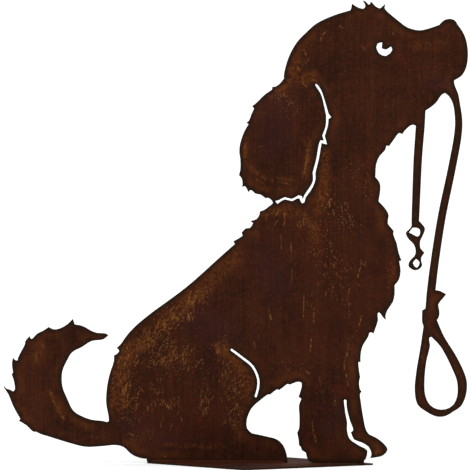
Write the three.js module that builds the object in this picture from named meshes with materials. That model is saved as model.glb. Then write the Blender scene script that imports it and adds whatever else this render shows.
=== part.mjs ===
/**
 * Yard ornament: a seated shaggy dog cut from one steel sheet, holding its lead in its mouth,
 * standing on edge on a square steel foot plate.
 *
 * Millimetres, +Z up. The sheet lies in the XZ plane, centred on y = 0, and the dog looks toward +X.
 * The plate is set cornerwise under it, so its diagonal runs along the sheet. The origin is the
 * centre of the plate's underside.
 */
import * as THREE from 'three';

const SHEET_THICKNESS = 2;
const PLATE = { side: 175, thickness: 2, cornerCut: 1 };
const SOLE = PLATE.thickness; // height at which the feet stand on the plate
const LEG_SLOT_WIDTH = 2.4;
const WELD = { from: -119, to: 27, leg: 2.4, bulge: 0.62 }; // along the front of the haunch
const FLAT_RUN = 5; // longest straight run used to follow a curved cut
const STRAIGHT = 0.02; // a point this near the line between its neighbours is left out

/** The lead's two strands: [x, z] points down the middle, and the width at the top and the bottom. */
const LONG_STRAND = {
  middle: [[213.5, 391], [216, 373], [215.2, 357], [208.5, 320], [198, 270], [190, 219], [186.4, 190]],
  widths: [7.6, 9.2],
};
const SHORT_STRAND = {
  middle: [[174.3, 366], [171.8, 333], [170, 292], [169, 264]],
  widths: [9.6, 8.2],
};

/**
 * The cut line of the sheet, clockwise from the rump. Every row is one sweep of the torch, a smooth
 * curve from the end of the row before through the [x, z] points given. Rows meet in corners: the
 * tips and the roots of the hair.
 */
const SILHOUETTE = {
  start: [-123.5, SOLE],
  cuts: [
    // rump, on into the underside of the tail
    [[-124, 5]],
    [[-130, 5.5], [-140, 9.5], [-149, 17.5], [-157, 19.5], [-175, 18], [-191, 17.5], [-210, 22],
     [-230, 28], [-240, 31], [-245.5, 33.5], [-247, 33]],
    // hair along the back of the tail, from the lowest tuft up
    [[-250, 35], [-255, 40], [-263.5, 45]],
    [[-262, 47.5]],
    [[-264, 50.5], [-270, 61.5], [-275.5, 74.5], [-279.5, 80.5], [-280, 83]],
    [[-277.5, 80], [-274, 79], [-270, 77]],
    [[-268, 79], [-269.5, 90], [-271.5, 95.5]],
    [[-270, 97.5]],
    [[-271, 104], [-271, 109], [-270, 113.5]],
    [[-268, 111], [-265, 110.5]],
    [[-264.5, 113.5], [-261, 120.5], [-257, 128], [-256.5, 131.5], [-252, 137]],
    [[-250.5, 134]],
    [[-248.5, 134.5], [-244, 139.5], [-237, 143], [-231, 147]],
    [[-225.5, 144.5], [-219, 145.5], [-210, 150.5], [-204.5, 156]],
    // tip of the tail
    [[-202.5, 150]],
    [[-196, 149], [-190, 146.5], [-185, 143.5], [-178, 141], [-169, 140.5], [-165.5, 138.5]],
    // inside of the tail, down to where it leaves the rump
    [[-171, 134], [-184, 132], [-194.5, 125.5], [-205.5, 119.5], [-211, 110.5], [-216, 99], [-216, 83],
     [-210.5, 69], [-204, 56.5], [-195.5, 51], [-184.5, 47], [-171, 45.5], [-167, 44.5], [-165, 46]],
    // haunch, tuft on the haunch, back
    [[-165.5, 51], [-168, 65], [-167, 83], [-164, 97], [-159.5, 111], [-159.5, 116.5]],
    [[-155, 119.5], [-154, 122], [-156.5, 125]],
    [[-152.5, 128.5], [-145, 139], [-135.5, 149], [-120.5, 161.5], [-80, 191.5], [-40, 227],
     [-27.5, 238]],
    // hair at the nape
    [[-29, 241]],
    [[-23.5, 244], [-19, 247]],
    [[-20, 250.5]],
    [[-15.5, 255], [-11, 255.5], [-7.5, 260.5]],
    [[-10.5, 263]],
    [[-4, 265], [-1, 269], [0, 273.5]],
    // nook between neck and ear
    [[4.5, 275], [10.5, 279.5], [14, 282.5], [12.5, 285.5], [9, 288], [6, 287.5]],
    // hanging ear, up its outer edge
    [[0.5, 291.5], [-5, 292.5], [-9, 296], [-11, 296], [-12.5, 294]],
    [[-14, 297], [-16.5, 300.5], [-19.5, 299.5]],
    [[-19, 303], [-20, 309], [-23, 312.5]],
    [[-21.5, 318], [-21.5, 330], [-22.5, 336], [-22, 345], [-17, 360], [-12.5, 367.5]],
    [[-15, 369]],
    [[-12, 371.5], [-9.5, 378], [-6.5, 384.5]],
    [[-8.5, 387]],
    [[-3, 391.5], [4.5, 399], [13, 405]],
    [[13.5, 408]],
    [[17.5, 408.5], [23, 413], [26, 417]],
    // back of the head
    [[26, 421], [31, 439.5], [40, 456], [50, 466.5], [61.5, 476.5], [79.5, 485], [98.5, 491]],
    // crest of hair
    [[99.5, 494], [100, 498]],
    [[104.5, 495], [111.5, 492.5], [114.5, 494.5], [114, 497.5], [111.5, 501.5]],
    [[114.5, 500.5], [118, 497]],
    [[119.5, 497.5], [120.5, 500.5]],
    [[123, 498], [126, 495], [130.5, 493], [133, 495], [136.5, 498]],
    // forehead and muzzle
    [[135.5, 493.5], [137, 491], [150, 480], [160.5, 472.5], [173.5, 469.5], [185, 472], [195, 475.5]],
    [[199.5, 480], [205.5, 482], [211.5, 480.5], [215, 475.5]],
    [[220, 468.5], [224, 459.5], [226, 443], [224, 429], [219, 420.5], [211, 415.5]],
    // long strand of the lead, front edge
    [[211.5, 411], [215.5, 401], ...strapEdge(LONG_STRAND, 1)],
    // knot
    [[196, 188.5], [202.5, 185]],
    [[199, 180.5], [194, 174], [195, 168], [195, 161.5], [192.5, 157]],
    // hand loop, outer edge
    [[200, 140], [212.5, 120], [221, 103.5], [225, 91], [224, 76], [218.5, 64], [210.5, 58.5],
     [202, 53.5], [192, 53], [180.5, 58.5], [171.5, 66], [168.5, 81], [170, 100], [175, 130],
     [178, 150.5]],
    // knot again, then the long strand's back edge up to the jaw
    [[176.5, 154.5], [176.5, 167.5]],
    [[180, 169.5]],
    [[180.5, 176], ...strapEdge(LONG_STRAND, -1), [205.5, 398.5], [201, 402]],
    [[197.5, 400], [191, 391], [184, 385.5], [180, 383]],
    // short strand, front edge
    strapEdge(SHORT_STRAND, 1),
    // snap hook
    [[178, 258.5], [179.5, 255.5], [177.5, 249], [174.5, 243], [174, 238], [174.5, 234.5]],
    [[179, 229.5]],
    [[175.5, 224.5], [175.5, 220], [176.5, 216.5], [174, 212.5], [169, 210.5], [163.5, 213],
     [161.5, 216], [163.5, 221.5], [168, 226], [169.5, 231], [167.5, 238.5], [162, 244], [158.5, 251],
     [162.5, 255], [165, 258.5]],
    // short strand, back edge
    strapEdge(SHORT_STRAND, -1),
    // throat
    [[167.5, 367.5], [164, 367], [156.5, 360], [155, 357.5]],
    [[151, 358.5], [147, 353.5], [140.5, 344.5]],
    [[137.5, 345]],
    [[136, 340], [130, 333.5], [126.5, 325], [125.5, 311]],
    // chest
    [[130, 305.5], [131, 299], [129, 285]],
    [[137.5, 275.5], [140, 269.5], [139, 261.5], [145.5, 253]],
    [[145, 249.5], [148.5, 240.5], [151, 229], [154, 221]],
    [[151.5, 220.5]],
    [[153, 209.5], [151, 200], [146.5, 194.5]],
    [[146.5, 184.5], [144.5, 176], [139, 168], [136.5, 160.5], [137.5, 157]],
    [[134, 159.5], [130, 165], [128, 163.5], [128.5, 157], [126.5, 150], [123.5, 142]],
    [[121, 143.5], [119, 142.5], [118, 139], [111.5, 128], [109.5, 118], [109.5, 111.5]],
    // front of the far foreleg
    [[107, 111]],
    [[107.5, 105], [109, 95]],
    [[108, 90], [108.5, 83], [110.5, 79]],
    [[109, 77], [110, 67], [112.5, 51], [115.5, 38], [118.5, 33.5]],
    // far paw
    [[130.5, 27], [139, 17], [134, 10.5], [127, 8.5], [120, 7.5]],
    // slot between the paws, up its front edge and down its back edge
    [[121.5, 12], [118.5, 19.5], [110.5, 24.5], [102.5, 27.5], [99, 35.5]],
    [[101.5, 37.5], [98, 48], [94.5, 62], [94.3, 69.5]],
    [[92.8, 70.8], [91.3, 69.5]],
    [[93, 56], [95, 45], [94.7, 38.5], [97.5, 28.5], [107, 21.5], [117, 15.5], [115, 6]],
    // near paw and its sole
    [[113.5, 5], [113.5, SOLE]],
    [[57.5, SOLE]],
    // back of the near foreleg
    [[53, 4.5], [51, 8.5], [50, 13]],
    [[45.5, 15.5]],
    [[44.5, 19], [42.5, 21]],
    [[42, 27], [40.5, 34.5]],
    [[42.5, 39], [43, 52], [42.5, 64], [45, 71]],
    [[42, 73.5]],
    [[44, 79], [45.5, 88], [42, 89.5], [32.5, 86.3]],
    // hair under the belly
    [[30, 87], [26, 84], [21, 80.3]],
    [[18.5, 81], [11.3, 75.5]],
    // belly and the top of the hind foot
    [[9, 75.5], [0, 69], [-9.5, 60], [-14.5, 47.5], [-14, 38.5], [-9, 33.5]],
    [[5.5, 30.5], [18.5, 27], [25, 21], [29, 11], [30, SOLE]],
    // sole of the haunch
    [[-123.5, SOLE]],
  ],
};

/** Openings cut through the sheet, each a closed chain of smooth cuts in the same form. */
const OPENINGS = [
  {
    // slot that draws the front edge of the ear
    start: [60, 410],
    cuts: [
      [[61, 411.5], [66, 405.5], [71.5, 390], [74.5, 379.5]],
      [[77.5, 375.5]],
      [[74.5, 373.5]],
      [[74, 367], [70.5, 355]],
      [[73, 346]],
      [[67, 347.5]],
      [[64, 330], [60.3, 314.5], [60.5, 309], [57.5, 300], [49.5, 288.5]],
      [[48.5, 284], [46, 282.3], [44, 285], [43, 287.5]],
      // along the underside of the ear and back
      [[40, 287.5], [35, 284.7], [27, 286.5], [21.5, 283.5], [19, 281.5]],
      [[16.5, 284.5]],
      [[21, 285.8], [27, 288.8], [34.5, 287], [42, 291]],
      [[45.5, 290]],
      [[46.5, 286.7]],
      [[48.5, 291.5], [55, 301], [57.7, 307], [57.3, 315.5]],
      [[61.2, 330], [64.3, 347], [66, 350.5]],
      [[69.5, 350]],
      [[67.8, 355.5]],
      [[71.5, 366], [72, 377]],
      [[69.2, 390], [66.4, 400], [60, 410]],
    ],
  },
  {
    // eye, a crescent round the glint
    start: [126.5, 450.5],
    cuts: [
      [[128, 455], [133, 456.3]],
      [[132.4, 450]],
      [[137, 448.5], [142.5, 452]],
      [[143.8, 448], [137, 441.7], [129.5, 444.5], [126.5, 450.5]],
    ],
  },
  {
    // swivel of the snap hook
    start: [166, 256.5],
    cuts: [[[170.5, 256.5], [174, 254.5], [173.5, 248.5], [171, 247]], [[162, 251.5]], [[166, 256.5]]],
  },
  {
    // eye of the snap hook
    start: [170, 223],
    cuts: [[[173.8, 219], [170.5, 213.3], [166.3, 218.5], [170, 223]]],
  },
  {
    // inside of the hand loop
    start: [186.5, 139],
    cuts: [
      [[184, 137.5], [185, 130], [181, 112], [179, 90], [180, 75.5], [185, 65.5], [193, 61],
       [202, 61], [210, 65.5], [214.5, 75], [214.5, 90.5], [209, 105], [196.5, 128.5], [186.5, 139]],
    ],
  },
];

/** Centre line of the narrow slot that draws the thigh. */
const LEG_SLOT = [[-31, 123.5], [-20, 115.5], [-8, 105.5], [-2, 92], [-2.3, 82], [-4.7, 73.5]];

/**
 * One edge of a strand of the lead.
 *
 * @param {{middle: number[][], widths: number[]}} strap the strand
 * @param {number} side +1 for its front edge, listed downward, -1 for its back edge, listed upward
 * @returns {number[][]} [x, z] points half the width to that side of the middle
 */
function strapEdge({ middle, widths }, side) {
  const last = middle.length - 1;
  const edge = middle.map(([x, z], i) => {
    const [ax, az] = middle[Math.max(i - 1, 0)];
    const [bx, bz] = middle[Math.min(i + 1, last)];
    const half = THREE.MathUtils.lerp(widths[0], widths[1], i / last) / 2;
    const reach = (side * half) / Math.hypot(bx - ax, bz - az);
    return [x + reach * (az - bz), z + reach * (bx - ax)];
  });
  return side > 0 ? edge : edge.reverse();
}

/**
 * Points along one smooth cut, its last point left out.
 *
 * @param {number[][]} via the [x, z] points the cut passes through
 * @returns {THREE.Vector2[]} points no more than about FLAT_RUN apart
 */
function smoothCut(via) {
  if (via.length === 2) return [new THREE.Vector2(...via[0])];
  const curve = new THREE.CatmullRomCurve3(
    via.map(([x, z]) => new THREE.Vector3(x, z, 0)), false, 'centripetal');
  const spans = via.length - 1;
  return via.slice(0, spans).flatMap((from, i) => {
    const length = Math.hypot(via[i + 1][0] - from[0], via[i + 1][1] - from[1]);
    const runs = Math.max(2, Math.ceil(length / FLAT_RUN));
    return Array.from({ length: runs }, (_, k) => {
      const point = curve.getPoint((i + k / runs) / spans);
      return new THREE.Vector2(point.x, point.y);
    });
  });
}

/**
 * @param {THREE.Vector2[]} line a closed line
 * @returns {THREE.Vector2[]} the same line with only the points that bend it
 */
function bendsOnly(line) {
  const kept = [line[0]];
  line.slice(1).forEach((point, i) => {
    const before = kept[kept.length - 1];
    const run = line[(i + 2) % line.length].clone().sub(before);
    if (Math.abs(run.cross(point.clone().sub(before))) > STRAIGHT * run.length()) kept.push(point);
  });
  return kept;
}

/**
 * A whole closed cut line.
 *
 * @param {{start: number[], cuts: number[][][]}} chain start point and the cuts that follow it
 * @returns {THREE.Vector2[]} the closed line, its first point not repeated
 */
function closedLine({ start, cuts }) {
  let corner = start;
  const line = cuts.flatMap((cut) => {
    const points = smoothCut([corner, ...cut]);
    corner = cut[cut.length - 1];
    return points;
  });
  return bendsOnly(line);
}

/**
 * Outline of a slot of even width with round ends.
 *
 * @param {number[][]} centreLine [x, z] points along its middle
 * @param {number} width across the slot
 * @returns {THREE.Vector2[]} the closed line
 */
function slotLine(centreLine, width) {
  const middle = [...smoothCut(centreLine), new THREE.Vector2(...centreLine[centreLine.length - 1])];
  const end = middle.length - 1;
  const heading = (i) => middle[Math.min(i + 1, end)].clone().sub(middle[Math.max(i - 1, 0)]).angle();
  const edge = (i, turn) => new THREE.Vector2(
    middle[i].x + (width / 2) * Math.cos(heading(i) + turn),
    middle[i].y + (width / 2) * Math.sin(heading(i) + turn));
  const quarter = Math.PI / 2;
  return [
    ...middle.map((_, i) => edge(i, quarter)),
    edge(end, quarter / 2), edge(end, 0), edge(end, -quarter / 2),
    ...middle.map((_, i) => edge(end - i, -quarter)),
    edge(0, -1.5 * quarter), edge(0, 2 * quarter), edge(0, 1.5 * quarter),
  ];
}

/** @returns {THREE.BufferGeometry} the cut sheet, standing on the plate */
function sheetGeometry() {
  // turned counterclockwise, because only then does ExtrudeGeometry set the holes' direction
  const shape = new THREE.Shape(closedLine(SILHOUETTE).reverse());
  shape.holes = [...OPENINGS.map(closedLine), slotLine(LEG_SLOT, LEG_SLOT_WIDTH)]
    .map((line) => new THREE.Path(line));
  const sheet = new THREE.ExtrudeGeometry(shape, { depth: SHEET_THICKNESS, bevelEnabled: false });
  return sheet.rotateX(Math.PI / 2).translate(0, SHEET_THICKNESS / 2, 0);
}

/** @returns {THREE.BufferGeometry} the square plate with its corners just taken off, set cornerwise */
function plateGeometry() {
  const half = PLATE.side / 2;
  const cut = half - PLATE.cornerCut;
  const shape = new THREE.Shape([
    [half, cut], [cut, half], [-cut, half], [-half, cut],
    [-half, -cut], [-cut, -half], [cut, -half], [half, -cut],
  ].map(([x, y]) => new THREE.Vector2(x, y)));
  const plate = new THREE.ExtrudeGeometry(shape, { depth: PLATE.thickness, bevelEnabled: false });
  return plate.rotateZ(Math.PI / 4);
}

/** @returns {THREE.BufferGeometry} the fillet weld in the corner between plate and sheet */
function weldGeometry() {
  const bulge = WELD.bulge * WELD.leg;
  const section = new THREE.Shape([
    new THREE.Vector2(0, 0), new THREE.Vector2(WELD.leg, 0),
    new THREE.Vector2(bulge, bulge), new THREE.Vector2(0, WELD.leg),
  ]);
  const bead = new THREE.ExtrudeGeometry(section, { depth: WELD.to - WELD.from, bevelEnabled: false });
  // section x runs out from the sheet, section y runs up, depth runs back along the sheet
  const front = -SHEET_THICKNESS / 2;
  return bead.applyMatrix4(new THREE.Matrix4().set(
    0, 0, -1, WELD.to,
    -1, 0, 0, front,
    0, 1, 0, SOLE,
    0, 0, 0, 1));
}

/**
 * @param {string} name part name
 * @param {THREE.BufferGeometry} geometry its solid
 * @param {number} colour display colour
 * @returns {THREE.Mesh} a named mesh with a material of its own
 */
function piece(name, geometry, colour) {
  const material = new THREE.MeshStandardMaterial({ color: colour, metalness: 0.3, roughness: 0.8 });
  const mesh = new THREE.Mesh(geometry, material);
  mesh.name = name;
  return mesh;
}

const dog = new THREE.Group();
dog.name = 'sheet_steel_dog';
dog.add(piece('dog_silhouette', sheetGeometry(), 0x4a2a1c));
dog.add(piece('base_plate', plateGeometry(), 0x4d3226));
dog.add(piece('weld_bead_haunch', weldGeometry(), 0x5a3a28));

export default dog;
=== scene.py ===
"""Yard ornament: a seated shaggy dog cut from one rusted steel sheet, on a square foot plate.

The flat pieces are rebuilt as fine meshes on the outlines of their solids, with eased edges, scale
and marks in the rust, and the weld gets its ripples. Lengths in this file are millimetres; meshes
are written in metres.
"""

from __future__ import annotations

import logging
import math
from dataclasses import dataclass, field
from enum import Enum
from typing import Any

import bpy
import numpy as np
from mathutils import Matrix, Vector
from mathutils.geometry import delaunay_2d_cdt

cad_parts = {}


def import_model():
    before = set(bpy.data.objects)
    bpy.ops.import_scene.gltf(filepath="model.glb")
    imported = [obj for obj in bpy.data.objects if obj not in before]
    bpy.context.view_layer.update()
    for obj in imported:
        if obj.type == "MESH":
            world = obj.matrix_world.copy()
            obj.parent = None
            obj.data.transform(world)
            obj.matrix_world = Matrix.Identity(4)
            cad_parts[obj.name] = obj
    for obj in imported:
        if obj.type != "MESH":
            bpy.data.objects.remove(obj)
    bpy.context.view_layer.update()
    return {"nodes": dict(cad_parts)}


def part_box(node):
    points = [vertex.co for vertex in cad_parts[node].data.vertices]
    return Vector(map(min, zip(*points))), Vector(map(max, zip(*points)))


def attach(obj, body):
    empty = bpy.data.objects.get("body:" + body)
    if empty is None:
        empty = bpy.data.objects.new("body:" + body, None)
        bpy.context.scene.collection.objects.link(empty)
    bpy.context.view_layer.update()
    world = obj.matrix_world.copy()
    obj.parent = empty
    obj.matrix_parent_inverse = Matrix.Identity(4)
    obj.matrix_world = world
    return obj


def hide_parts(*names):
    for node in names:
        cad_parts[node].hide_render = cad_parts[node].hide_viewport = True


MM = 0.001
BODY = "root"
LOG = logging.getLogger("yard_dog")

STROKE_SEED = 7
PLATE_SEED = 30
SHARP_CORNER = 38.0  # degrees past which a corner is shaded sharp

# how coarse each pattern in the rust is, in features to the metre
CLOUDS = 22.0
PATCHES = 28.0
RAGGED = 120.0
MOTTLE = 160.0
BROKEN = 300.0
PORES = 520.0
BREAKS = 560.0
UPRIGHT_STREAKS = (420.0, 420.0, 14.0)

# numbers of the colour mixer's sockets
MIX_FACTOR, MIX_A, MIX_B, MIX_RESULT = 0, 6, 7, 2

Colour = tuple[float, float, float, float]
Point = tuple[float, float]


class Slot(Enum):
    """Names of material slots."""

    SHEET = "rusted_sheet"
    PLATE = "rusted_plate"
    WELD = "weld_metal"


class Layer(Enum):
    """What a trace lays on the steel, each kept as one value per point of the mesh."""

    EDGE = "edge_mm"
    OCHRE = "ochre"
    RED = "red"
    PURPLE = "purple"
    GOLD = "gold"
    GRAIN = "grain"


@dataclass(frozen=True)
class Trace:
    """A mark in the rust: a line with soft sides.

    Attributes:
        line: Points down its middle, in millimetres on the face of the sheet.
        reach: How far it spreads to each side, in millimetres.
        strength: How strong it is along its middle, 0 to 1.
    """

    line: tuple[Point, ...]
    reach: float
    strength: float = 1.0


# ---------------------------------------------------------------- marks on the front of the dog

OCHRE = (
    Trace(((-160, 62), (-157, 85), (-150, 108), (-133, 128), (-98, 158), (-60, 191), (-26, 224)), 12, 0.75),
    Trace(((-150, 92), (-150, 62)), 11, 0.8),
    Trace(((-42, 127), (-24, 112), (-13, 92), (-14, 72)), 10, 0.8),
    Trace(((-30, 45), (-20, 28)), 7, 0.6),
    Trace(((24, 408), (34, 424), (42, 432)), 12, 0.8),
    Trace(((45, 416), (58, 420)), 10, 0.75),
    Trace(((70, 335), (71, 300), (62, 275)), 9, 0.8),
    Trace(((-15, 262), (8, 274), (38, 273), (58, 262), (60, 246)), 8, 0.7),
    Trace(((52, 350), (53, 330), (49, 312)), 5, 0.9),
    Trace(((-16, 350), (-15, 330), (-8, 318), (6, 309), (38, 308)), 4, 0.6),
    Trace(((166, 452), (200, 456)), 9, 0.45),
    Trace(((-245, 112), (-238, 126)), 8, 0.7),
    Trace(((-229, 77), (-221, 59), (-215, 49)), 4, 0.8),
    Trace(((-146, 20), (-120, 32)), 8, 0.5),
    Trace(((-104, 21), (-70, 19), (-38, 19)), 3, 0.6),
    Trace(((125, 14), (133, 12)), 6, 0.8),
    Trace(((178, 118), (179, 112)), 3, 0.9),
)
RED = (
    Trace(((140, 218), (148, 196)), 10, 0.9),
    Trace(((83, 80), (102, 74)), 9, 0.8),
    Trace(((50, 18), (60, 12)), 9, 0.8),
    Trace(((147, 446), (156, 436)), 9, 0.8),
    Trace(((203, 288), (202, 281)), 6, 0.9),
    Trace(((178, 122), (178, 118)), 4, 0.9),
    Trace(((40, 240), (110, 200), (60, 140)), 45, 0.35),
    Trace(((-110, 60), (-60, 50)), 40, 0.4),
)
PURPLE = (
    Trace(((20, 395), (15, 350)), 28, 0.6),
    Trace(((-70, 160), (-40, 140)), 30, 0.5),
    Trace(((5, 225), (20, 190)), 26, 0.5),
    Trace(((87, 56), (72, 40)), 12, 0.6),
    Trace(((188, 412), (206, 414)), 9, 0.8),
    Trace(((-140, 40), (-90, 25)), 22, 0.4),
)
# where the rust is beaded with gold
GRAIN = (
    Trace(((-42, 128), (-34, 108), (-28, 90), (-30, 66), (-28, 46)), 15, 1.0),
    Trace(((-148, 96), (-144, 70), (-140, 50)), 20, 0.7),
    Trace(((-110, 118), (-80, 108)), 26, 0.7),
    Trace(((-125, 138), (-95, 158), (-62, 182)), 17, 0.8),
    Trace(((-60, 90), (-62, 60)), 12, 0.6),
    Trace(((16, 404), (34, 384)), 13, 0.8),
    Trace(((104, 322), (116, 298)), 16, 0.45),
    Trace(((72, 284), (98, 255)), 18, 0.75),
    Trace(((60, 258), (62, 230)), 12, 0.7),
    Trace(((70, 240), (90, 190)), 28, 0.5),
    Trace(((142, 214), (146, 196)), 9, 0.8),
    Trace(((30, 112), (44, 102)), 12, 0.4),
)
GOLD = (
    # chest and foreleg
    Trace(((34, 239), (34.5, 222)), 1.0, 0.9),
    Trace(((23, 249), (23.5, 228)), 0.8, 0.5),
    Trace(((35, 210), (35, 198)), 0.9, 0.5),
    Trace(((48, 182), (47.5, 160)), 0.9, 0.8),
    Trace(((59, 170), (58.5, 155)), 1.0, 0.8),
    Trace(((56, 135), (55, 124)), 1.1, 0.8),
    Trace(((10, 166), (12, 158)), 1.6, 0.9),
    Trace(((-7, 135), (-5, 127)), 1.3, 0.6),
    Trace(((110.5, 160), (108, 150)), 1.2, 0.9),
    Trace(((106, 146), (100, 137)), 0.8, 0.5),
    Trace(((96, 131), (96.3, 129.5)), 1.0, 0.9),
    Trace(((96.2, 126), (95.6, 124)), 1.0, 0.8),
    Trace(((95, 120.5), (94.8, 119)), 1.1, 0.9),
    Trace(((93, 115.5), (92.6, 112)), 0.9, 0.7),
    Trace(((92, 108), (92, 104)), 1.1, 0.8),
    Trace(((94, 98), (95, 93)), 1.1, 0.9),
    Trace(((95.5, 90), (96, 86)), 0.9, 0.6),
    Trace(((82, 70), (81, 65)), 1.2, 0.8),
    Trace(((57, 46), (58.5, 35), (61, 24)), 1.3, 0.9),
    Trace(((51, 101), (53, 99)), 1.5, 1.0),
    Trace(((65, 96), (66, 84)), 0.9, 0.4),
    # head
    Trace(((66, 459), (69, 465), (72, 468)), 1.2, 0.9),
    Trace(((48, 448), (50, 443)), 1.3, 0.8),
    Trace(((53, 438), (51, 434)), 1.1, 0.7),
    Trace(((87, 474), (90, 472)), 1.6, 0.5),
    Trace(((41, 429), (43, 426)), 1.8, 0.6),
    Trace(((46, 419), (46.5, 412), (50, 409)), 1.0, 0.9),
    Trace(((57, 416), (62, 414), (65, 410)), 1.0, 0.8),
    Trace(((111, 452), (114, 448)), 1.8, 0.4),
    Trace(((143, 467), (146, 465)), 1.4, 0.5),
    Trace(((26, 401), (27, 397), (30, 398)), 1.0, 0.8),
    Trace(((33, 395), (35, 392), (33, 390)), 0.9, 0.7),
    Trace(((19, 396), (22, 393)), 1.0, 0.6),
    # ear
    Trace(((-16, 346), (-16.5, 332)), 1.4, 0.6),
    Trace(((52, 340), (51, 330), (48.5, 316)), 1.3, 0.8),
    Trace(((-4, 308), (3, 304)), 0.9, 0.6),
    Trace(((20, 305), (28, 304), (33, 302)), 1.0, 0.6),
    Trace(((-2, 343), (10, 345)), 0.8, 0.4),
    # tail
    Trace(((-245, 116), (-243, 111)), 1.2, 0.5),
    Trace(((-240, 129), (-237, 125)), 1.2, 0.5),
    Trace(((-229, 77), (-226, 68), (-222, 60)), 0.8, 0.5),
    Trace(((-217, 52), (-214, 47)), 1.0, 0.7),
    # lower edge of the haunch
    Trace(((-142, 32), (-138, 30)), 1.6, 0.8),
    Trace(((-106, 8.5), (-104, 8)), 1.4, 0.8),
    # muzzle
    Trace(((166, 393), (176, 402), (188, 411)), 0.7, 0.22),
)


@dataclass(frozen=True)
class Coat:
    """A patch of short strokes burnt into the coat, like combed hair.

    Attributes:
        line: Middle of the patch, in millimetres.
        spread: How far the strokes lie to each side of it, in millimetres.
        lean: Direction of the strokes, in degrees from the horizontal.
        count: How many there are.
        length: Mean length of one, in millimetres.
    """

    line: tuple[Point, ...]
    spread: float
    lean: float
    count: int
    length: float


COATS = (
    Coat(((-128, 128), (-104, 148), (-84, 166)), 9, 62, 48, 7),
    Coat(((-78, 172), (-62, 182)), 8, 78, 9, 7),
    Coat(((-90, 160), (-74, 152)), 10, 115, 8, 8),
    Coat(((-152, 112), (-130, 118)), 11, 66, 34, 9),
    Coat(((-116, 118), (-76, 112)), 12, 74, 44, 8),
    Coat(((-152, 88), (-140, 62)), 10, 86, 22, 6),
    Coat(((-120, 84), (-92, 48)), 18, 88, 40, 5),
    Coat(((-58, 76), (-62, 52)), 6, 68, 16, 7),
    Coat(((-46, 126), (-36, 108)), 6, 55, 12, 6),
    Coat(((-36, 100), (-26, 70), (-30, 44)), 11, 60, 52, 3),
    Coat(((72, 282), (96, 258)), 12, 100, 16, 5),
    Coat(((14, 266), (50, 262)), 8, 80, 14, 5),
    Coat(((60, 200), (100, 190)), 30, 90, 24, 4),
)


def spaced(line: tuple[Point, ...], step: float) -> np.ndarray:
    """Walks along a line of points.

    The line runs straight between its points and is parted evenly, into runs of about the step.

    Args:
        line: The points of the line, in millimetres.
        step: Distance between the points wanted.

    Returns:
        The points, as an (n, 2) array.
    """
    knots = np.array(line, float)
    along = np.concatenate([[0], np.cumsum(np.linalg.norm(np.diff(knots, axis=0), axis=1))])
    at = np.linspace(0, along[-1], max(2, int(along[-1] / step) + 1))
    return np.stack([np.interp(at, along, knots[:, k]) for k in range(2)], axis=1)


def combed(coats: tuple[Coat, ...], seed: int) -> tuple[Trace, ...]:
    """Scatters the strokes of the combed patches.

    A stroke starts at a random place along the patch's line, moved aside by up to its spread, and
    runs in the patch's direction, a little bent, for about its length.

    Args:
        coats: The patches.
        seed: Seed of the random numbers.

    Returns:
        One trace for each stroke.
    """
    rng = np.random.default_rng(seed)
    strokes = []
    for coat in coats:
        middle = spaced(coat.line, 0.5)
        for _ in range(coat.count):
            root = middle[rng.integers(len(middle))] + rng.uniform(-coat.spread, coat.spread, 2)
            angle = math.radians(coat.lean + rng.normal(0, 12))
            bend = rng.normal(0, 0.3)
            length = coat.length * rng.uniform(0.5, 1.4)
            first = length * 0.5 * np.array([math.cos(angle), math.sin(angle)])
            second = length * 0.5 * np.array([math.cos(angle + bend), math.sin(angle + bend)])
            points = [root, root + first, root + first + second]
            line = tuple((float(x), float(z)) for x, z in points)
            strokes.append(Trace(line, rng.uniform(0.6, 1.0), rng.uniform(0.35, 1.0)))
    return tuple(strokes)


# ---------------------------------------------------------------- numbers over a surface


def lattice_noise(points: np.ndarray, cell: float, seed: int) -> np.ndarray:
    """Smooth noise: random values on a square lattice, blended with an S-curve in between.

    Args:
        points: (n, 2) places, in millimetres.
        cell: Lattice spacing, in millimetres.
        seed: Seed of the lattice's values.

    Returns:
        One value from 0 to 1 for each place.
    """
    span = 512
    values = np.random.default_rng(seed).random((span, span))
    at = points / cell
    low = np.floor(at).astype(int)
    part = at - low
    blend = part * part * (3 - 2 * part)
    i, j = low[:, 0] % span, low[:, 1] % span
    i1, j1 = (i + 1) % span, (j + 1) % span
    bottom = values[i, j] * (1 - blend[:, 0]) + values[i1, j] * blend[:, 0]
    top = values[i, j1] * (1 - blend[:, 0]) + values[i1, j1] * blend[:, 0]
    return bottom * (1 - blend[:, 1]) + top * blend[:, 1]


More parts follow.
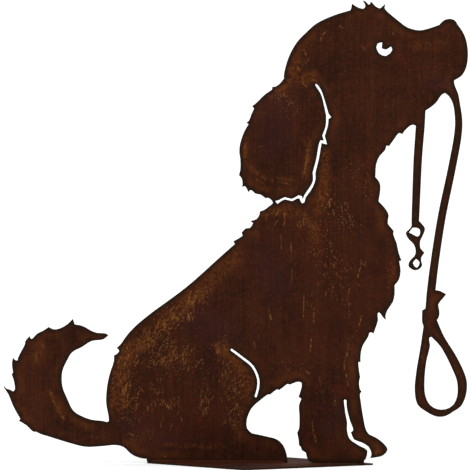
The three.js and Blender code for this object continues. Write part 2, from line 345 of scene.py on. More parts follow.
def to_segments(
    points: np.ndarray, starts: np.ndarray, ends: np.ndarray, limit: float = 20.0
) -> tuple[np.ndarray, np.ndarray]:
    """Distance to the nearest of many segments, and on which side of the closed line a point is.

    The distance is to the foot of the perpendicular, held between the segment's ends. A point is
    inside where a level line drawn from it to the right crosses the segments an odd number of times.
    The points are taken a square tile at a time, with only the segments that can matter there.

    Args:
        points: (n, 2) places.
        starts: (m, 2) starts of the segments.
        ends: (m, 2) ends of the segments.
        limit: Greatest distance told apart; what lies farther gets this value.

    Returns:
        The n distances, and n booleans that are true inside.
    """
    tile = 24.0
    lowest, highest = np.minimum(starts, ends), np.maximum(starts, ends)
    far = np.full(len(points), limit)
    inside = np.zeros(len(points), bool)
    _, member = np.unique(np.floor(points / tile), axis=0, return_inverse=True)
    member = member.reshape(-1)
    parts = np.split(np.argsort(member, kind="stable"), np.cumsum(np.bincount(member))[:-1])
    for part in parts:
        p = points[part][:, None, :]
        low, high = p.min((0, 1)), p.max((0, 1))
        near = ((lowest <= high + limit) & (highest >= low - limit)).all(1)
        if near.any():
            start, run = starts[near], (ends - starts)[near]
            off = p - start
            t = np.clip((off * run).sum(2) / np.maximum((run**2).sum(1), 1e-12), 0, 1)
            gap = off - t[..., None] * run
            far[part] = np.minimum(np.sqrt((gap**2).sum(2).min(1)), limit)
        level = (lowest[:, 1] <= high[1]) & (highest[:, 1] >= low[1])
        start, run = starts[level], (ends - starts)[level]
        spans = (start[:, 1] > p[..., 1]) != (start[:, 1] + run[:, 1] > p[..., 1])
        rise = np.where(run[:, 1] == 0, 1, run[:, 1])
        cross = start[:, 0] + (p[..., 1] - start[:, 1]) / rise * run[:, 0]
        inside[part] = ((spans & (p[..., 0] < cross)).sum(1) % 2) == 1
    return far, inside


def laid(points: np.ndarray, traces: tuple[Trace, ...]) -> np.ndarray:
    """How strongly a set of traces shows at each place.

    A trace falls off from its middle line as one minus the square of distance over reach, squared
    again, and the strongest trace at a place is the one that shows.

    Args:
        points: (n, 2) places, in millimetres.
        traces: The marks.

    Returns:
        One value from 0 to 1 for each place.
    """
    total = np.zeros(len(points))
    for trace in traces:
        knots = np.array(trace.line, float)
        low, high = knots.min(0) - trace.reach, knots.max(0) + trace.reach
        near = np.nonzero(((points > low) & (points < high)).all(1))[0]
        if len(near) == 0:
            continue
        gap, _ = to_segments(points[near], knots[:-1], knots[1:], trace.reach)
        fade = np.clip(1 - (gap / trace.reach) ** 2, 0, 1) ** 2
        total[near] = np.maximum(total[near], trace.strength * fade)
    return total


def new_object(name: str, points: np.ndarray, faces: list[Any]) -> bpy.types.Object:
    """Puts a finished mesh into the scene, riding on the body.

    Args:
        name: Name of the piece.
        points: (n, 3) places, in millimetres.
        faces: Vertex numbers of each face, seen from outside in counterclockwise order.

    Returns:
        The new object.
    """
    mesh = bpy.data.meshes.new(name)
    mesh.from_pydata((points * MM).tolist(), [], faces)
    mesh.polygons.foreach_set("use_smooth", np.ones(len(mesh.polygons), bool))
    mesh.set_sharp_from_angle(angle=math.radians(SHARP_CORNER))
    made = bpy.data.objects.new(name, mesh)
    bpy.context.collection.objects.link(made)
    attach(made, BODY)
    return made


def open_edges(triangles: np.ndarray, count: int) -> tuple[np.ndarray, np.ndarray]:
    """Finds the edges that bound a set of triangles.

    An edge is on the boundary where no other triangle runs along it the other way.

    Args:
        triangles: (t, 3) vertex numbers.
        count: How many vertices there are.

    Returns:
        The first and the last vertex of each boundary edge.
    """
    heads = triangles.ravel()
    tails = triangles[:, [1, 2, 0]].ravel()
    lone = ~np.isin(heads * count + tails, tails * count + heads)
    return heads[lone], tails[lone]


def keep_layer(piece: bpy.types.Object, layer: Layer, values: np.ndarray) -> None:
    """Writes one value of a layer for each point of the mesh."""
    made = piece.data.attributes.new(layer.value, "FLOAT", "POINT")
    made.data.foreach_set("value", values.astype(np.float32))


# ---------------------------------------------------------------- shader nodes


class Nodes:
    """Adds nodes to one shader tree and joins them up."""

    def __init__(self, tree: bpy.types.NodeTree) -> None:
        """Works on this tree."""
        self.tree = tree

    def put(self, kind: str, inputs: dict[str | int, Any], **settings: Any) -> bpy.types.Node:
        """Adds a node.

        Args:
            kind: Blender's name of the node type.
            inputs: What goes into its sockets, either a value or another node's socket.
            **settings: Properties of the node.

        Returns:
            The node.
        """
        node = self.tree.nodes.new(kind)
        for key, value in settings.items():
            setattr(node, key, value)
        for key, value in inputs.items():
            if isinstance(value, bpy.types.NodeSocket):
                self.tree.links.new(value, node.inputs[key])
            else:
                node.inputs[key].default_value = value
        return node

    def maths(self, operation: str, a: Any, b: Any = 0.0) -> bpy.types.NodeSocket:
        """One sum on one or two numbers, returned as a socket."""
        return self.put("ShaderNodeMath", {0: a, 1: b}, operation=operation).outputs[0]

    def blend(self, factor: Any, a: Any, b: Any, kind: str = "MIX") -> bpy.types.NodeSocket:
        """Blends two colours.

        Args:
            factor: How much of the second colour shows.
            a: The first colour.
            b: The second colour.
            kind: How they are blended.

        Returns:
            The colour's socket.
        """
        inputs = {MIX_FACTOR: factor, MIX_A: a, MIX_B: b}
        node = self.put("ShaderNodeMix", inputs, data_type="RGBA", blend_type=kind)
        return node.outputs[MIX_RESULT]

    def ease(self, value: Any, low: float, high: float) -> bpy.types.NodeSocket:
        """Goes from 0 at low to 1 at high along an S-curve, returned as a socket."""
        inputs = {"Value": value, "From Min": low, "From Max": high}
        return self.put("ShaderNodeMapRange", inputs, interpolation_type="SMOOTHSTEP").outputs[0]

    def spread(self, value: Any, low: float, high: float) -> bpy.types.NodeSocket:
        """Maps 0 to 1 onto low to high along a straight line, returned as a socket."""
        inputs = {"Value": value, "To Min": low, "To Max": high}
        return self.put("ShaderNodeMapRange", inputs).outputs[0]

    def stretched(self, vector: Any, scale: tuple[float, float, float]) -> bpy.types.NodeSocket:
        """Scales a vector on each axis, returned as a socket."""
        return self.put("ShaderNodeVectorMath", {0: vector, 1: scale}, operation="MULTIPLY").outputs[0]

    def noise(self, vector: Any, scale: float, detail: float = 3.0) -> bpy.types.NodeSocket:
        """Fractal noise from 0 to 1, returned as a socket."""
        inputs = {"Vector": vector, "Scale": scale, "Detail": detail, "Roughness": 0.6}
        return self.put("ShaderNodeTexNoise", inputs).outputs[0]

    def layer(self, which: Layer) -> bpy.types.NodeSocket:
        """Reads one of the mesh's own layers, returned as a socket."""
        return self.put("ShaderNodeAttribute", {}, attribute_name=which.value).outputs["Fac"]

    def group(self, tree: bpy.types.NodeTree, inputs: dict[str | int, Any]) -> bpy.types.Node:
        """Places a node group."""
        return self.put("ShaderNodeGroup", inputs, node_tree=tree)


VECTOR, COLOUR, VALUE = "NodeSocketVector", "NodeSocketColor", "NodeSocketFloat"


def new_group(name: str, inputs: dict[str, str], outputs: dict[str, str]) -> bpy.types.NodeTree:
    """Starts a shader node group.

    Args:
        name: Name of the group.
        inputs: Socket type of each input by its name.
        outputs: Socket type of each output by its name.

    Returns:
        The group, with nothing in it yet.
    """
    tree = bpy.data.node_groups.new(name, "ShaderNodeTree")
    for label, kind in inputs.items():
        tree.interface.new_socket(name=label, in_out="INPUT", socket_type=kind)
    for label, kind in outputs.items():
        tree.interface.new_socket(name=label, in_out="OUTPUT", socket_type=kind)
    return tree


def rust_ground() -> bpy.types.NodeTree:
    """The even rust under everything: cloudy brown with fine upright streaks.

    Returns:
        A group with inputs Vector, Deep, Warm and Red and outputs Colour and Height.
    """
    inputs = {"Vector": VECTOR, "Deep": COLOUR, "Warm": COLOUR, "Red": COLOUR}
    tree = new_group("rust_ground", inputs, {"Colour": COLOUR, "Height": VALUE})
    n = Nodes(tree)
    given = n.put("NodeGroupInput", {}).outputs
    cloud = n.noise(given["Vector"], CLOUDS, 4)
    mottle = n.noise(given["Vector"], MOTTLE, 3)
    pore = n.noise(given["Vector"], PORES, 2)
    upright = n.noise(n.stretched(given["Vector"], UPRIGHT_STREAKS), 1, 2)
    colour = n.blend(n.ease(cloud, 0.35, 0.68), given["Deep"], given["Warm"])
    colour = n.blend(n.maths("MULTIPLY", n.ease(mottle, 0.46, 0.72), 0.8), colour, given["Red"])
    both = n.maths("MULTIPLY", n.spread(pore, 0.3, 1.66), n.spread(upright, 0.5, 1.5))
    grey = n.put("ShaderNodeCombineColor", {0: both, 1: both, 2: both}).outputs[0]
    colour = n.blend(1.0, colour, grey, "MULTIPLY")
    height = n.maths("ADD", n.maths("MULTIPLY", mottle, 0.6), n.maths("MULTIPLY", pore, 0.5))
    n.put("NodeGroupOutput", {"Colour": colour, "Height": height})
    return tree


def rust_beads() -> bpy.types.NodeTree:
    """Small bright grains of rust, thick where Amount is high.

    Each grain is a cell of a cell pattern, lit near its middle where a random value of the cell is
    under the amount.

    Returns:
        A group with inputs Vector, Scale and Amount and output Mask.
    """
    inputs = {"Vector": VECTOR, "Scale": VALUE, "Amount": VALUE}
    tree = new_group("rust_beads", inputs, {"Mask": VALUE})
    n = Nodes(tree)
    given = n.put("NodeGroupInput", {}).outputs
    bent = n.put("ShaderNodeTexNoise", {"Vector": given["Vector"], "Scale": BROKEN}).outputs["Color"]
    shift = n.put("ShaderNodeVectorMath", {0: bent, "Scale": 0.0022}, operation="SCALE").outputs[0]
    place = n.put("ShaderNodeVectorMath", {0: given["Vector"], 1: shift}, operation="ADD").outputs[0]
    cells = n.put("ShaderNodeTexVoronoi", {"Vector": place, "Scale": given["Scale"]})
    middle = n.maths("SUBTRACT", 1.0, n.ease(cells.outputs["Distance"], 0.12, 0.42))
    pick = n.put("ShaderNodeSeparateColor", {0: cells.outputs["Color"]}).outputs[0]
    lit = n.ease(n.maths("SUBTRACT", given["Amount"], pick), 0.0, 0.12)
    n.put("NodeGroupOutput", {"Mask": n.maths("MULTIPLY", middle, lit)})
    return tree


def cut_edge() -> bpy.types.NodeTree:
    """The scorched rim beside a cut, and the warmer band inside it.

    Returns:
        A group with inputs Vector, Base, Distance, Rim and Halo and output Colour.
    """
    inputs = {"Vector": VECTOR, "Base": COLOUR, "Distance": VALUE, "Rim": COLOUR, "Halo": COLOUR}
    tree = new_group("cut_edge", inputs, {"Colour": COLOUR})
    n = Nodes(tree)
    given = n.put("NodeGroupInput", {}).outputs
    ragged = n.maths("MULTIPLY", n.maths("SUBTRACT", n.noise(given["Vector"], RAGGED), 0.5), 5.0)
    distance = n.maths("ADD", given["Distance"], ragged)
    rim = n.maths("SUBTRACT", 1.0, n.ease(distance, 0.8, 4.6))
    rise = n.ease(distance, 3.0, 6.5)
    fall = n.maths("SUBTRACT", 1.0, n.ease(distance, 7.0, 15.0))
    patchy = n.ease(n.noise(given["Vector"], PATCHES, 2), 0.42, 0.66)
    halo = n.maths("MULTIPLY", n.maths("MULTIPLY", rise, fall), n.maths("MULTIPLY", patchy, 0.3))
    colour = n.blend(halo, given["Base"], given["Halo"])
    colour = n.blend(n.maths("MULTIPLY", rim, 0.85), colour, given["Rim"])
    n.put("NodeGroupOutput", {"Colour": colour})
    return tree


class Effects:
    """The shared node groups, each built once."""

    def __init__(self) -> None:
        """Builds the groups."""
        self.ground = rust_ground()
        self.beads = rust_beads()
        self.edge = cut_edge()


@dataclass(frozen=True)
class RustedSteel:
    """Weathering steel: dark brown rust with ochre blooms and gold grains.

    Attributes:
        name: Name of the material.
        deep: Darkest of the ground's colours.
        warm: Lightest of the ground's colours.
        red: Colour of the red mottling and patches.
        rim: Colour of the scorched rim beside a cut.
        ochre: Colour of the blooms.
        gold: Colour of the bright grains and strokes.
        purple: Colour of the blue-red patches.
        grains: How thick the grains are where no trace adds to them.
        grain_scale: How many grains fit in a metre.
        roughness: How matt it is.
        glare: How strongly it mirrors at all.
        bump: Height of the fine grain, in millimetres.
    """

    name: str
    deep: Colour = (0.0235, 0.0066, 0.0027, 1)
    warm: Colour = (0.0410, 0.0106, 0.0038, 1)
    red: Colour = (0.0500, 0.0090, 0.0034, 1)
    rim: Colour = (0.0130, 0.0078, 0.0034, 1)
    ochre: Colour = (0.1000, 0.0275, 0.0046, 1)
    gold: Colour = (0.2500, 0.0980, 0.0240, 1)
    purple: Colour = (0.0290, 0.0078, 0.0085, 1)
    grains: float = 0.06
    grain_scale: float = 620.0
    roughness: float = 0.82
    glare: float = 0.06
    bump: float = 0.12

    def material(self, effects: Effects) -> bpy.types.Material:
        """Builds the material.

        Args:
            effects: The shared node groups.

        Returns:
            The material.
        """
        made = bpy.data.materials.new(self.name)
        made.use_nodes = True
        made.node_tree.nodes.clear()
        n = Nodes(made.node_tree)
        place = n.put("ShaderNodeTexCoord", {}).outputs["Object"]
        colours = {"Deep": self.deep, "Warm": self.warm, "Red": self.red}
        ground = n.group(effects.ground, {"Vector": place, **colours})
        colour = ground.outputs["Colour"]
        colour = n.blend(n.maths("MULTIPLY", n.layer(Layer.PURPLE), 0.8), colour, self.purple)
        colour = n.blend(n.maths("MULTIPLY", n.layer(Layer.RED), 0.75), colour, self.red)
        broken = n.ease(n.noise(place, BROKEN, 4), 0.38, 0.64)
        colour = n.blend(n.maths("MULTIPLY", n.layer(Layer.OCHRE), broken), colour, self.ochre)
        amount = n.maths("ADD", n.maths("MULTIPLY", n.layer(Layer.GRAIN), 0.5), self.grains)
        grains = {"Vector": place, "Scale": self.grain_scale, "Amount": amount}
        beads = n.group(effects.beads, grains).outputs["Mask"]
        colour = n.blend(n.maths("MULTIPLY", beads, 0.8), colour, self.gold)
        strokes = n.maths("MULTIPLY", n.layer(Layer.GOLD), n.ease(n.noise(place, BREAKS, 2), 0.4, 0.6))
        colour = n.blend(n.maths("MULTIPLY", strokes, 0.8), colour, self.gold)
        edge = {"Vector": place, "Base": colour, "Distance": n.layer(Layer.EDGE)}
        colour = n.group(effects.edge, {**edge, "Rim": self.rim, "Halo": self.ochre}).outputs["Colour"]
        height = n.maths("ADD", ground.outputs["Height"], n.maths("MULTIPLY", beads, 0.5))
        bump = n.put("ShaderNodeBump", {"Height": height, "Distance": self.bump * MM, "Strength": 0.7})
        shader = n.put("ShaderNodeBsdfPrincipled", {"Base Color": colour, "Normal": bump.outputs[0]})
        shader.inputs["Roughness"].default_value = self.roughness
        shader.inputs["Specular IOR Level"].default_value = self.glare
        n.put("ShaderNodeOutputMaterial", {"Surface": shader.outputs[0]})
        return made


# ---------------------------------------------------------------- flat pieces


# How far the second ring lies past the first, in spacings.
SECOND_RING = 0.55
# Least room between a point and the cuts: the first ring's in easings, the next two in spacings,
# and in millimetres for the rows along narrow traces.
RING_CLEAR = 0.8
SECOND_CLEAR = 0.4
GRID_CLEAR = 0.75
TRACE_CLEAR = 0.5
# Distance between points along a narrow trace.
TRACE_STEP = 0.8
# Share and size of each noise in the scale.
SCALE_NOISE = ((0.5, 14), (0.3, 6), (0.2, 3))
# How much less deep the scale is under a gold mark, as a share.
RAISED = 0.8
# Noise up to this leaves a face clear of clouds.
CLEAR_BELOW = 0.55
# The clouds on a face with no marks: their size, first seed, growth and greatest value.
FAR_CLOUD = 38
FAR_SEED = 40
FAR_GAIN = 2.2
FAR_MOST = 0.7


@dataclass
class FlatSteel:
    """A flat piece of plate, rebuilt as a fine mesh on the outline of its solid.

    Attributes:
        node: Name of the CAD node that it stands for.
        name: Name of the piece.
        slot: A slot name for its finish; not used.
        across: Which two axes lie in the plate, as numbers.
        through: Which axis runs through its thickness.
        facing: Side of that axis on which the marked face is, -1 or 1.
        spacing: Distance between points on the faces.
        edge_step: Distance between points along the cuts.
        easing: How far the corners of the cut are worn off.
        relief: Depth of the uneven scale.
        layers: The traces on the marked face.
        narrow: Traces that spread less than this get closer rows of points.
        seed: Seed of the scale.
    """

    node: str
    name: str
    slot: Slot
    across: tuple[int, int]
    through: int
    facing: int
    spacing: float = 2.5
    edge_step: float = 1.6
    easing: float = 0.28
    relief: float = 0.1
    narrow: float = 2.0
    layers: dict[Layer, tuple[Trace, ...]] = field(default_factory=dict)
    seed: int = 1

    def outline(self, node: bpy.types.Object) -> tuple[np.ndarray, np.ndarray, float, float]:
        """Reads the cut line of the solid's marked face, which has the metal on its left.

        Args:
            node: The CAD node.

        Returns:
            Starts and ends of the edges, and the lowest and highest place through the plate.
        """
        mesh = node.data
        flat = np.empty(len(mesh.vertices) * 3)
        mesh.vertices.foreach_get("co", flat)
        corners = np.empty(len(mesh.loops), int)
        mesh.loops.foreach_get("vertex_index", corners)
        places, merged = np.unique(np.round(flat.reshape(-1, 3) / MM, 4), axis=0, return_inverse=True)
        triangles = merged.reshape(-1)[corners].reshape(-1, 3)
        low, high = places[:, self.through].min(), places[:, self.through].max()
        level = high if self.facing > 0 else low
        on_face = (np.abs(places[triangles][:, :, self.through] - level) < 0.01).all(1)
        heads, tails = open_edges(triangles[on_face], len(places))
        plane = places[:, self.across]
        return plane[heads], plane[tails], low, high

    def stepped(self, starts: np.ndarray, ends: np.ndarray) -> tuple[np.ndarray, np.ndarray]:
        """Cuts the outline into short steps.

        Every edge is parted evenly into the fewest runs that are no longer than the step.

        Args:
            starts: (m, 2) starts of the edges.
            ends: (m, 2) ends of the edges.

        Returns:
            (n, 2) points along the cuts, and for each the number of the point after it.
        """
        _, labels = np.unique(np.round(np.concatenate([starts, ends]), 3), axis=0, return_inverse=True)
        labels = labels.reshape(-1)
        from_label, to_label = labels[: len(starts)], labels[len(starts) :]
        order = np.argsort(from_label)
        after = order[np.searchsorted(from_label[order], to_label)]
        runs = np.maximum(1, np.ceil(np.linalg.norm(ends - starts, axis=1) / self.edge_step)).astype(int)
        first = np.concatenate([[0], np.cumsum(runs)[:-1]])
        edge = np.repeat(np.arange(len(starts)), runs)
        step = np.arange(runs.sum()) - first[edge]
        points = starts[edge] + (ends - starts)[edge] * (step / runs[edge])[:, None]
        follow = np.where(step < runs[edge] - 1, np.arange(len(edge)) + 1, first[after[edge]])
        return points, follow

    def inner_points(self, rim: np.ndarray, follow: np.ndarray) -> np.ndarray:
        """Chooses the points on the faces, away from the cuts.

        A ring lies one easing inside the cuts, then comes a triangular grid, and along each narrow
        trace three closer rows, so that the trace has sharp sides.

        Args:
            rim: (n, 2) points along the cuts.
            follow: For each, the number of the point after it.

        Returns:
            (k, 2) points.
        """
        before = np.empty(len(rim), int)
        before[follow] = np.arange(len(rim))
        along = rim[follow] - rim[before]
        along /= np.maximum(np.linalg.norm(along, axis=1), 1e-9)[:, None]
        inward = np.stack([-along[:, 1], along[:, 0]], axis=1)
        ring = rim + inward * self.easing
        second = rim + inward * (self.easing + SECOND_RING * self.spacing)
        low, high = rim.min(0), rim.max(0)
        pitch = self.spacing * math.sqrt(3) / 2
        columns = np.arange(low[0], high[0], self.spacing)
        rows = np.arange(low[1], high[1], pitch)
        grid_x, grid_y = np.meshgrid(columns, rows)
        grid_x = grid_x + (np.arange(len(rows)) % 2)[:, None] * self.spacing / 2
        grid = np.stack([grid_x.ravel(), grid_y.ravel()], axis=1)
        sets = [
            (ring, RING_CLEAR * self.easing),
            (second, SECOND_CLEAR * self.spacing),
            (grid, GRID_CLEAR * self.spacing),
        ]
        narrow = [t for ts in self.layers.values() for t in ts if t.reach < self.narrow]
        for trace in narrow:
            middle = spaced(trace.line, TRACE_STEP)
            way = np.gradient(middle, axis=0)
            side = np.stack([-way[:, 1], way[:, 0]], axis=1)
            side /= np.maximum(np.linalg.norm(side, axis=1), 1e-9)[:, None]
            closer = [middle + side * trace.reach * k for k in (-1.0, 0.0, 1.0)]
            sets.append((np.concatenate(closer), TRACE_CLEAR))
        kept = []
        for points, clear in sets:
            far, inside = to_segments(points, rim, rim[follow])
            kept.append(points[inside & (far > clear)])
        return np.concatenate(kept)

    def triangulated(self, rim: np.ndarray, follow: np.ndarray) -> tuple[np.ndarray, np.ndarray]:
        """Joins the points of a face into triangles that keep to the cuts.

        Args:
            rim: (n, 2) points along the cuts.
            follow: For each, the number of the point after it.

        Returns:
            (k, 2) points and (t, 3) triangles, counterclockwise.
        """
        points = np.concatenate([rim, self.inner_points(rim, follow)])
        edges = np.stack([np.arange(len(rim)), follow], axis=1)
        found = delaunay_2d_cdt([Vector(p) for p in points], edges.tolist(), [], 0, 1e-5, False)
        places = np.array([tuple(v) for v in found[0]])
        triangles = np.array(found[2])
        _, inside = to_segments(places[triangles].mean(1), rim, rim[follow])
        triangles = triangles[inside]
        a, b, c = (places[triangles[:, k]] for k in range(3))
        area = (b[:, 0] - a[:, 0]) * (c[:, 1] - a[:, 1]) - (b[:, 1] - a[:, 1]) * (c[:, 0] - a[:, 0])
        triangles[area < 0] = triangles[area < 0][:, ::-1]
        return places, triangles

    def scale(self, points: np.ndarray, seed: int) -> np.ndarray:
        """Depth of the uneven scale: three sizes of smooth noise added up, from 0 to the relief.

        Args:
            points: (n, 2) places, in millimetres.
            seed: Seed of the noise.

        Returns:
            The depth at each place, in millimetres.
        """
        sizes = enumerate(SCALE_NOISE)
        return self.relief * sum(part * lattice_noise(points, size, seed + k) for k, (part, size) in sizes)

    def build(self, node: bpy.types.Object) -> bpy.types.Object:
        """Builds the piece.

        The marked face lies at the solid's surface less the depth of the scale, the other face is
        its mirror with scale of its own, and at the cuts both fall back by the easing. Quads join
        the two faces along the cuts, with one row of points halfway.

        Args:
            node: The CAD node that it stands for.

        Returns:
            The piece, with its layers in the mesh.
        """
        starts, ends, low, high = self.outline(node)
        rim, follow = self.stepped(starts, ends)
        places, triangles = self.triangulated(rim, follow)
        count = len(places)
        heads, tails = open_edges(triangles, count)
        is_rim = np.zeros(count, bool)
        is_rim[heads] = True
        far, _ = to_segments(places, rim, rim[follow])
        marks = {layer: laid(places, traces) for layer, traces in self.layers.items()}
        raised = marks.get(Layer.GOLD, np.zeros(count))
        half, middle = (high - low) / 2, (high + low) / 2
        front = half - np.where(is_rim, self.easing, self.scale(places, self.seed) * (1 - RAISED * raised))
        back = half - np.where(is_rim, self.easing, self.scale(places, self.seed + 10))
        rim_index = np.nonzero(is_rim)[0]
        wall = np.zeros(len(rim_index))
        flat = np.concatenate([places, places, places[rim_index]])
        points = np.empty((len(flat), 3))
        points[:, self.across[0]] = flat[:, 0]
        points[:, self.across[1]] = flat[:, 1]
        points[:, self.through] = np.concatenate([front, -back, wall]) * self.facing + middle
        faces = self.shell(triangles, heads, tails, rim_index, count)
        made = new_object(self.name, points, faces)
        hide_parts(self.node)
        keep_layer(made, Layer.EDGE, np.concatenate([far, far, wall]))
        behind = self.far_side(places)
        for layer in (Layer.OCHRE, Layer.RED, Layer.PURPLE, Layer.GOLD, Layer.GRAIN):
            values = marks.get(layer, behind[layer])
            keep_layer(made, layer, np.concatenate([values, behind[layer], wall]))
        return made

    @staticmethod
    def shell(
        triangles: np.ndarray, heads: np.ndarray, tails: np.ndarray, rim_index: np.ndarray, count: int
    ) -> list[Any]:
        """Lists the faces: both sides, and two rows of quads along the cuts.

        Args:
            triangles: (t, 3) triangles of the marked side.
            heads: First point of each edge of the cuts.
            tails: Last point of each edge of the cuts.
            rim_index: The points that lie on the cuts.
            count: How many points each side has.

        Returns:
            Vertex numbers of each face.
        """
        hinge = np.zeros(count, int)
        hinge[rim_index] = 2 * count + np.arange(len(rim_index))
        near_wall = np.stack([tails, heads, hinge[heads], hinge[tails]], axis=1)
        far_wall = np.stack([hinge[tails], hinge[heads], heads + count, tails + count], axis=1)
        sides = triangles.tolist() + (triangles[:, ::-1] + count).tolist()
        return sides + near_wall.tolist() + far_wall.tolist()

    def far_side(self, places: np.ndarray) -> dict[Layer, np.ndarray]:
        """Layers of a face with no marks of its own: broad clouds of each colour and no strokes.

        Args:
            places: (n, 2) places, in millimetres.

        Returns:
            The value of each layer at each place.
        """
        layers = {}
        for number, layer in enumerate((Layer.OCHRE, Layer.RED, Layer.PURPLE, Layer.GRAIN)):
            cloud = lattice_noise(places, FAR_CLOUD, self.seed + FAR_SEED + number)
            layers[layer] = np.clip((cloud - CLEAR_BELOW) * FAR_GAIN, 0, FAR_MOST)
        layers[Layer.GOLD] = np.zeros(len(places))
        return layers


@dataclass
class WeldBead:
    """The fillet weld along the front of the haunch.

    Attributes:
        node: Name of the CAD node that it stands for.
        name: Name of the piece.
        ripple: Length of one ripple.
        step: Distance between the rows of points along the bead.
        arc: Number of points round the face of the bead.
        tip: Length over which each end is rounded off.
        steady: Size of the bead before ripples, as a share of the solid's.
        dip: How much of its size a ripple takes away at most.
        wander: How much its size drifts along its length.
        sweep: How far the ripples bow along the bead.
        crown: How much the face bulges in its middle.
        blob: Where the swelling at the first end lies, how wide it is and how much it adds.
        least: Smallest size of the bead, as the same share.
        drift_size: Length over which its size drifts.
        cloud_size: Size of the ochre clouds on it.
        ochre: How fast the ochre grows where a cloud starts.
        red: How much red it has all over.
        from_cut: Distance from the nearest cut that its finish is given.
        seed: Seed of the drift and the clouds.
    """

    node: str = "weld_bead_haunch"
    name: str = "weld_bead_haunch_rippled"
    ripple: float = 2.1
    step: float = 0.3
    arc: int = 11
    tip: float = 3.0
    steady: float = 0.9
    dip: float = 0.12
    wander: float = 0.1
    sweep: float = 0.9
    crown: float = 0.1
    blob: tuple[float, float, float] = (2.4, 1.8, 0.16)
    least: float = 0.12
    drift_size: float = 9
    cloud_size: float = 11
    ochre: float = 2
    red: float = 0.6
    from_cut: float = 20
    seed: int = 5

    def sections(self) -> np.ndarray:
        """Works out the bead's sections.

        A section is a quarter of a bulging disc, from the plate round to the sheet, closed through
        its corner. Its size along the bead is a steady size less a ripple that falls slowly and
        rises fast, swept back where the bead cooled first, and it runs down to a rounded end.

        Returns:
            (rows, ring, 3) points, in millimetres.
        """
        low, high = (np.array(v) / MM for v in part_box(self.node))
        along = np.linspace(low[0], high[0], int((high[0] - low[0]) / self.step) + 1)
        turn = np.linspace(0, math.pi / 2, self.arc)
        x, angle = np.meshgrid(along, turn, indexing="ij")
        phase = ((x + self.sweep * np.sin(2 * angle)) / self.ripple) % 1
        line = np.stack([x.ravel(), x.ravel() * 0], axis=1)
        drift = lattice_noise(line, self.drift_size, self.seed).reshape(x.shape)
        size = self.steady - self.dip * phase - self.wander * drift
        from_end = np.minimum(x - low[0], high[0] - x)
        size *= np.sqrt(np.clip(1 - (1 - np.clip(from_end / self.tip, 0, 1)) ** 2, 0.02, 1))
        place, spread, gain = self.blob
        swell = np.exp(-(((x - low[0] - place) / spread) ** 2))
        size = np.clip(size * (1 + gain * swell), self.least, 1)
        bulge = size * (1 + self.crown * np.sin(2 * angle))
        width, tall = high[1] - low[1], high[2] - low[2]
        y = high[1] - width * np.minimum(bulge * np.cos(angle), 1)
        z = low[2] + tall * np.minimum(bulge * np.sin(angle), 1)
        face = np.stack([x, y, z], axis=2)
        corner = np.stack([along, np.full(len(along), high[1]), np.full(len(along), low[2])], axis=1)
        return np.concatenate([face, corner[:, None, :]], axis=1)

    def build(self) -> bpy.types.Object:
        """Joins the sections into a closed bead and gives it its layers.

        Returns:
            The piece.
        """
        sections = self.sections()
        rows, ring = sections.shape[:2]
        number = np.arange(rows * ring).reshape(rows, ring)
        after = np.roll(number, -1, axis=1)
        quads = np.stack([number[:-1], number[1:], after[1:], after[:-1]], axis=2)
        faces = quads.reshape(-1, 4).tolist()
        faces += [number[0].tolist(), number[-1][::-1].tolist()]
        points = sections.reshape(-1, 3)
        made = new_object(self.name, points, faces)
        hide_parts(self.node)
        zero = np.zeros(rows * ring)
        cloud = lattice_noise(points[:, [0, 2]], self.cloud_size, self.seed + 3)
        keep_layer(made, Layer.EDGE, zero + self.from_cut)
        keep_layer(made, Layer.OCHRE, np.clip((cloud - CLEAR_BELOW) * self.ochre, 0, 1))
        keep_layer(made, Layer.RED, zero + self.red)
        for layer in (Layer.PURPLE, Layer.GOLD, Layer.GRAIN):
            keep_layer(made, layer, zero)
        return made


# ---------------------------------------------------------------- studio


@dataclass(frozen=True)
class Lamp:
    """A large soft lamp, in metres and watts."""

    name: str
    spot: tuple[float, float, float]
    power: float
    size: float


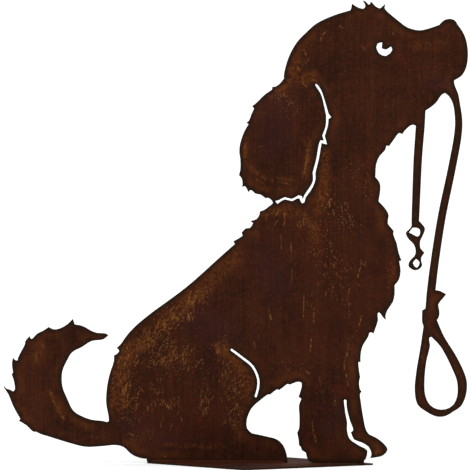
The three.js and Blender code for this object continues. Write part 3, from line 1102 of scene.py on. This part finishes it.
@dataclass(frozen=True)
class Studio:
    """Pale floor, even light all round and a long lens.

    Attributes:
        target: Where the camera looks, in millimetres.
        azimuth: How far round from the front the camera stands, in degrees.
        elevation: How far above the level, in degrees.
        distance: How far away, in metres.
        view_width: Width of the view at the target, in millimetres.
        sensor: Width of the camera's sensor, in millimetres.
        floor_half: Half the width of the floor, in metres.
        floor_white: How white the floor is.
        floor_glow: How much light the floor gives, so that it stays pale in the shade.
        lamps: The soft lamps.
        aim: What the lamps point at, in metres.
    """

    target: tuple[float, float, float] = (-27.3, 0.0, 247.7)
    azimuth: float = 8.0
    elevation: float = 2.2
    distance: float = 15.0
    view_width: float = 507.6
    sensor: float = 36.0
    floor_half: float = 60.0
    floor_white: float = 0.9
    floor_glow: float = 0.3
    lamps: tuple[Lamp, ...] = (
        Lamp("key", (-1.6, -2.6, 2.4), 12.0, 1.6),
        Lamp("fill", (2.4, 2.4, 2.0), 6.0, 2.0),
    )
    aim: tuple[float, float, float] = (0.0, 0.0, 0.25)

    def place_camera(self) -> None:
        """Sets the camera on its circle round the target, looking at it."""
        data = bpy.data.cameras.new("camera")
        data.sensor_width = self.sensor
        data.lens = self.sensor * self.distance / (self.view_width * MM)
        data.clip_end = 200
        camera = bpy.data.objects.new("camera", data)
        turn, tilt = math.radians(self.azimuth), math.radians(self.elevation)
        way = Vector((math.sin(turn) * math.cos(tilt), -math.cos(turn) * math.cos(tilt), math.sin(tilt)))
        camera.location = Vector(self.target) * MM + way * self.distance
        camera.rotation_euler = (-way).to_track_quat("-Z", "Y").to_euler()
        bpy.context.collection.objects.link(camera)
        bpy.context.scene.camera = camera

    def light(self) -> None:
        """Lights the world evenly and adds two large soft lamps."""
        world = bpy.data.worlds.new("studio")
        world.use_nodes = True
        background = world.node_tree.nodes["Background"]
        background.inputs["Color"].default_value = (1, 1, 1, 1)
        background.inputs["Strength"].default_value = 1.0
        bpy.context.scene.world = world
        for lamp in self.lamps:
            data = bpy.data.lights.new(lamp.name, "AREA")
            data.energy = lamp.power
            data.size = lamp.size
            placed = bpy.data.objects.new(lamp.name, data)
            placed.location = lamp.spot
            way = Vector(self.aim) - Vector(lamp.spot)
            placed.rotation_euler = way.to_track_quat("-Z", "Y").to_euler()
            bpy.context.collection.objects.link(placed)

    def lay_floor(self) -> None:
        """Lays a wide white floor under the plate."""
        half = self.floor_half
        white = self.floor_white
        mesh = bpy.data.meshes.new("floor")
        corners = [(-half, -half, 0), (half, -half, 0), (half, half, 0), (-half, half, 0)]
        mesh.from_pydata(corners, [], [(0, 1, 2, 3)])
        floor = bpy.data.objects.new("floor", mesh)
        paper = bpy.data.materials.new("floor_paper")
        paper.use_nodes = True
        shader = paper.node_tree.nodes["Principled BSDF"]
        shader.inputs["Base Color"].default_value = (white, white, white, 1)
        shader.inputs["Emission Color"].default_value = (1, 1, 1, 1)
        shader.inputs["Emission Strength"].default_value = self.floor_glow
        shader.inputs["Roughness"].default_value = 1.0
        shader.inputs["Specular IOR Level"].default_value = 0.0
        mesh.materials.append(paper)
        bpy.context.collection.objects.link(floor)

    def build(self) -> None:
        """Sets up the camera, the light, the floor and the plain view transform."""
        self.place_camera()
        self.light()
        self.lay_floor()
        bpy.context.scene.view_settings.view_transform = "Standard"


@dataclass
class YardDog:
    """The whole ornament: the dog, its foot plate and the weld between them."""

    effects: Effects = field(default_factory=Effects)

    def build(self, nodes: dict[str, bpy.types.Object]) -> None:
        """Builds and dresses every piece.

        Args:
            nodes: The CAD nodes by name.
        """
        layers = {
            Layer.OCHRE: OCHRE,
            Layer.RED: RED,
            Layer.PURPLE: PURPLE,
            Layer.GRAIN: GRAIN,
            Layer.GOLD: GOLD + combed(COATS, STROKE_SEED),
        }
        dog = FlatSteel("dog_silhouette", "dog_rusted_sheet", Slot.SHEET, (0, 2), 1, -1, layers=layers)
        self.dress(dog.build(nodes[dog.node]), RustedSteel("rust_on_sheet"))
        plate = FlatSteel("base_plate", "base_plate_rusted", Slot.PLATE, (0, 1), 2, 1, seed=PLATE_SEED)
        browns = {"deep": (0.034, 0.0095, 0.005, 1), "warm": (0.066, 0.018, 0.009, 1)}
        finish = RustedSteel("rust_on_plate", grains=0.03, **browns)
        self.dress(plate.build(nodes[plate.node]), finish)
        bead = RustedSteel("rust_on_weld", deep=(0.050, 0.014, 0.006, 1), warm=(0.085, 0.022, 0.009, 1))
        self.dress(WeldBead().build(), bead)

    def dress(self, piece: bpy.types.Object, finish: RustedSteel) -> None:
        """Gives a piece its finish and reports it."""
        piece.data.materials.append(finish.material(self.effects))
        LOG.info("%s: %d faces, %s", piece.name, len(piece.data.polygons), finish.name)


def main() -> None:
    """Loads the solids, builds the ornament round them and sets up the studio."""
    logging.basicConfig(level=logging.INFO, format="%(name)s: %(message)s")
    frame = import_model()
    YardDog().build(frame["nodes"])
    Studio().build()


if __name__ == "__main__":
    main()
